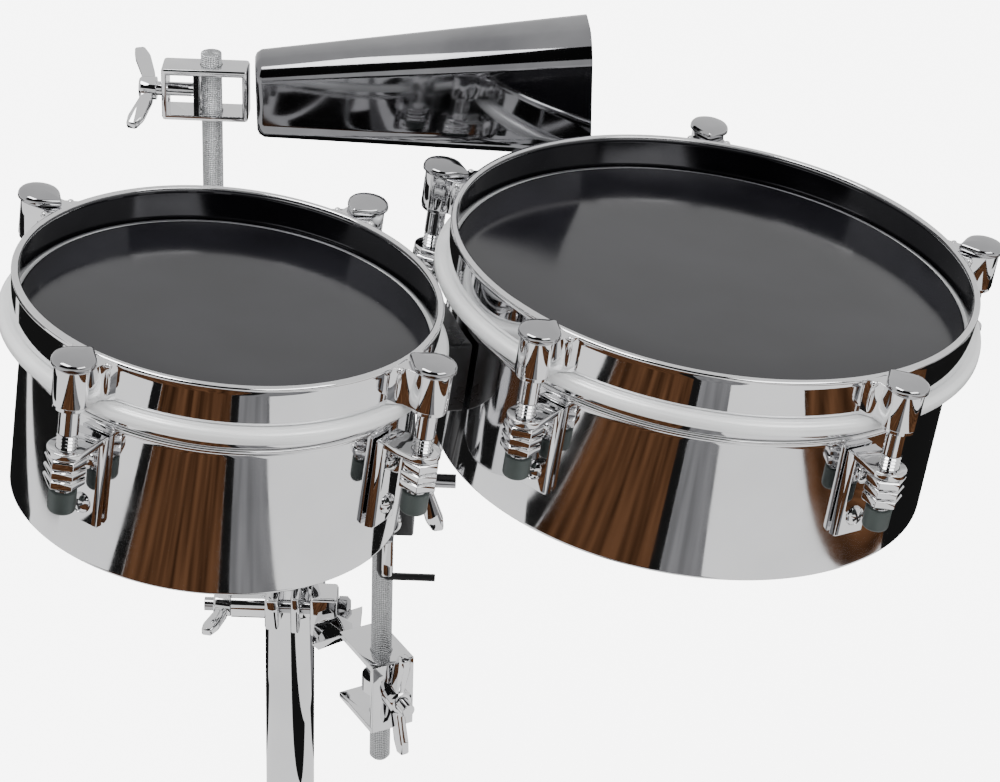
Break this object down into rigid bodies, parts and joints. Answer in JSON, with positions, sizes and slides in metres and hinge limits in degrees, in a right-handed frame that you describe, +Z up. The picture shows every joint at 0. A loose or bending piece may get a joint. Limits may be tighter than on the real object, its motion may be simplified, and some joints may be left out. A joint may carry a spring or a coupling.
{
  "type": "mini timbales",
  "caption": "Pair of small chrome steel timbales with tension rods, a cowbell on a bent rod, and a rod clamp on a stand post.",
  "frame": {"origin": "centre of the stand post's lower end", "axes": "+Z up along the post, +X to the right past the large drum, +Y away from the player"},
  "size_m": [0.3993, 0.298, 0.3625],
  "materials": {
    "chrome": "mirror-bright chrome plate",
    "hoop_aluminium": "bright satin",
    "head_film": "dark grey coated film",
    "knurled_steel": "plated, diamond knurl",
    "black_steel": "black",
    "black_oxide": "black oxide"
  },
  "bodies": {
    "post": {"stand_post": "chrome"},
    "post_clamp": {"clamp_jaw_left": "chrome", "clamp_jaw_right": "chrome", "clamp_bolt": "knurled_steel"},
    "clamp_nut": {"clamp_wing_nut": "chrome"},
    "arm": {"rod_holder": "chrome", "rod_eye_bolt": "chrome"},
    "rod_nut": {"rod_wing_nut": "chrome"},
    "rod": {"support_rod": "knurled_steel"},
    "mount": {"tilt_block": "chrome"},
    "rod_lock_nut": {"rod_lock_wing_nut": "chrome"},
    "tilt_nut": {"tilt_wing_nut": "chrome"},
    "drums": {"drum_bracket": "black_steel", "small_shell": "chrome", "small_head": "head_film", "small_flesh_hoop": "hoop_aluminium", "large_shell": "chrome", "large_head": "head_film", "large_flesh_hoop": "hoop_aluminium", "small_lug_1": "chrome", "small_lug_2": "chrome", "small_lug_3": "chrome", "small_lug_4": "chrome", "large_lug_1": "chrome", "large_lug_2": "chrome", "large_lug_3": "chrome", "large_lug_4": "chrome", "large_lug_5": "chrome"},
    "small_rim_body": {"small_rim": "chrome", "small_tension_bolt_1": "chrome", "small_tension_bolt_2": "chrome", "small_tension_bolt_3": "chrome", "small_tension_bolt_4": "chrome"},
    "large_rim_body": {"large_rim": "chrome", "large_tension_bolt_1": "chrome", "large_tension_bolt_2": "chrome", "large_tension_bolt_3": "chrome", "large_tension_bolt_4": "chrome", "large_tension_bolt_5": "chrome"},
    "key": {"hex_key": "black_oxide"},
    "bell_rod": {"cowbell_rod": "knurled_steel"},
    "bell": {"cowbell": "chrome", "cowbell_clamp": "chrome"},
    "bell_nut": {"cowbell_wing_bolt": "chrome"},
    "small_nut_1": {"small_tuning_nut_1": "chrome"},
    "small_nut_2": {"small_tuning_nut_2": "chrome"},
    "small_nut_3": {"small_tuning_nut_3": "chrome"},
    "small_nut_4": {"small_tuning_nut_4": "chrome"},
    "large_nut_1": {"large_tuning_nut_1": "chrome"},
    "large_nut_2": {"large_tuning_nut_2": "chrome"},
    "large_nut_3": {"large_tuning_nut_3": "chrome"},
    "large_nut_4": {"large_tuning_nut_4": "chrome"},
    "large_nut_5": {"large_tuning_nut_5": "chrome"}
  },
  "joints": [
    {"name": "clamp_height", "type": "slide", "parent": "post", "child": "post_clamp", "axis": [0, 0, 1], "range_m": [-0.03, 0.02]},
    {"name": "clamp_nut_turn", "type": "hinge", "parent": "post_clamp", "child": "clamp_nut", "pos_m": [-0.0244, -0.02, 0.116], "axis": [-1, 0, 0], "continuous": true},
    {"name": "arm_swing", "type": "hinge", "parent": "post_clamp", "child": "arm", "pos_m": [0.017, -0.02, 0.116], "axis": [1, 0, 0], "range_deg": [-8, 8]},
    {"name": "rod_nut_turn", "type": "hinge", "parent": "arm", "child": "rod_nut", "pos_m": [0.05, -0.07039, 0.106], "axis": [0.5, -0.866, 0], "continuous": true},
    {"name": "rod_height", "type": "slide", "parent": "arm", "child": "rod", "axis": [0, 0, 1], "range_m": [-0.02, 0.018]},
    {"name": "mount_turn", "type": "hinge", "parent": "rod", "child": "mount", "pos_m": [0.044, -0.06, 0.2], "axis": [0, 0, 1], "range_deg": [-20, 20]},
    {"name": "rod_lock_nut_turn", "type": "hinge", "parent": "mount", "child": "rod_lock_nut", "pos_m": [0.0574, -0.06, 0.207], "axis": [1, 0, 0], "continuous": true},
    {"name": "tilt_nut_turn", "type": "hinge", "parent": "mount", "child": "tilt_nut", "pos_m": [0.047, -0.077, 0.2], "axis": [0, -1, 0], "continuous": true},
    {"name": "drum_tilt", "type": "hinge", "parent": "mount", "child": "drums", "pos_m": [0.047, -0.072, 0.2], "axis": [0, 1, 0], "range_deg": [-3, 10]},
    {"name": "small_rim_travel", "type": "slide", "parent": "drums", "child": "small_rim_body", "axis": [0.1129, 0, 0.9936], "range_m": [0, 0.002]},
    {"name": "large_rim_travel", "type": "slide", "parent": "drums", "child": "large_rim_body", "axis": [0.1129, 0, 0.9936], "range_m": [0, 0.002]},
    {"name": "key_turn", "type": "hinge", "parent": "drums", "child": "key", "pos_m": [0.0436, -0.0722, 0.18], "axis": [0, 0, 1], "range_deg": [-30, 30]},
    {"name": "bell_rod_swing", "type": "hinge", "parent": "mount", "child": "bell_rod", "pos_m": [0.044, -0.06, 0.2], "axis": [0.586, -0.8103, 0], "range_deg": [-10, 10]},
    {"name": "bell_turn", "type": "hinge", "parent": "bell_rod", "child": "bell", "pos_m": [-0.037, 0.052, 0.33], "axis": [0, 0, 1], "range_deg": [0, 30]},
    {"name": "bell_nut_turn", "type": "hinge", "parent": "bell", "child": "bell_nut", "pos_m": [-0.06, 0.052, 0.3306], "axis": [-1, 0, 0], "continuous": true},
    {"name": "small_nut_turn_1", "type": "hinge", "parent": "drums", "child": "small_nut_1", "pos_m": [0.062, -0.17254, 0.27811], "axis": [0.1129, 0, 0.9936], "range_deg": [0, 512]},
    {"name": "small_nut_turn_2", "type": "hinge", "parent": "drums", "child": "small_nut_2", "pos_m": [0.03049, -0.04534, 0.28169], "axis": [0.1129, 0, 0.9936], "range_deg": [0, 512]},
    {"name": "small_nut_turn_3", "type": "hinge", "parent": "drums", "child": "small_nut_3", "pos_m": [-0.09591, -0.07706, 0.29604], "axis": [0.1129, 0, 0.9936], "range_deg": [0, 512]},
    {"name": "small_nut_turn_4", "type": "hinge", "parent": "drums", "child": "small_nut_4", "pos_m": [-0.06439, -0.20426, 0.29246], "axis": [0.1129, 0, 0.9936], "range_deg": [0, 512]},
    {"name": "large_nut_turn_1", "type": "hinge", "parent": "drums", "child": "large_nut_1", "pos_m": [0.28266, -0.01947, 0.26023], "axis": [0.1129, 0, 0.9936], "range_deg": [0, 512]},
    {"name": "large_nut_turn_2", "type": "hinge", "parent": "drums", "child": "large_nut_2", "pos_m": [0.1725, 0.06408, 0.27274], "axis": [0.1129, 0, 0.9936], "range_deg": [0, 512]},
    {"name": "large_nut_turn_3", "type": "hinge", "parent": "drums", "child": "large_nut_3", "pos_m": [0.05949, -0.01555, 0.28558], "axis": [0.1129, 0, 0.9936], "range_deg": [0, 512]},
    {"name": "large_nut_turn_4", "type": "hinge", "parent": "drums", "child": "large_nut_4", "pos_m": [0.09983, -0.14832, 0.281], "axis": [0.1129, 0, 0.9936], "range_deg": [0, 512]},
    {"name": "large_nut_turn_5", "type": "hinge", "parent": "drums", "child": "large_nut_5", "pos_m": [0.23775, -0.15074, 0.26533], "axis": [0.1129, 0, 0.9936], "range_deg": [0, 512]}
  ],
  "couplings": [
    {"joint": "small_nut_turn_1", "follows": "small_rim_travel", "rad_per_m": 4452.7},
    {"joint": "small_nut_turn_2", "follows": "small_rim_travel", "rad_per_m": 4452.7},
    {"joint": "small_nut_turn_3", "follows": "small_rim_travel", "rad_per_m": 4452.7},
    {"joint": "small_nut_turn_4", "follows": "small_rim_travel", "rad_per_m": 4452.7},
    {"joint": "large_nut_turn_1", "follows": "large_rim_travel", "rad_per_m": 4452.7},
    {"joint": "large_nut_turn_2", "follows": "large_rim_travel", "rad_per_m": 4452.7},
    {"joint": "large_nut_turn_3", "follows": "large_rim_travel", "rad_per_m": 4452.7},
    {"joint": "large_nut_turn_4", "follows": "large_rim_travel", "rad_per_m": 4452.7},
    {"joint": "large_nut_turn_5", "follows": "large_rim_travel", "rad_per_m": 4452.7}
  ]
}
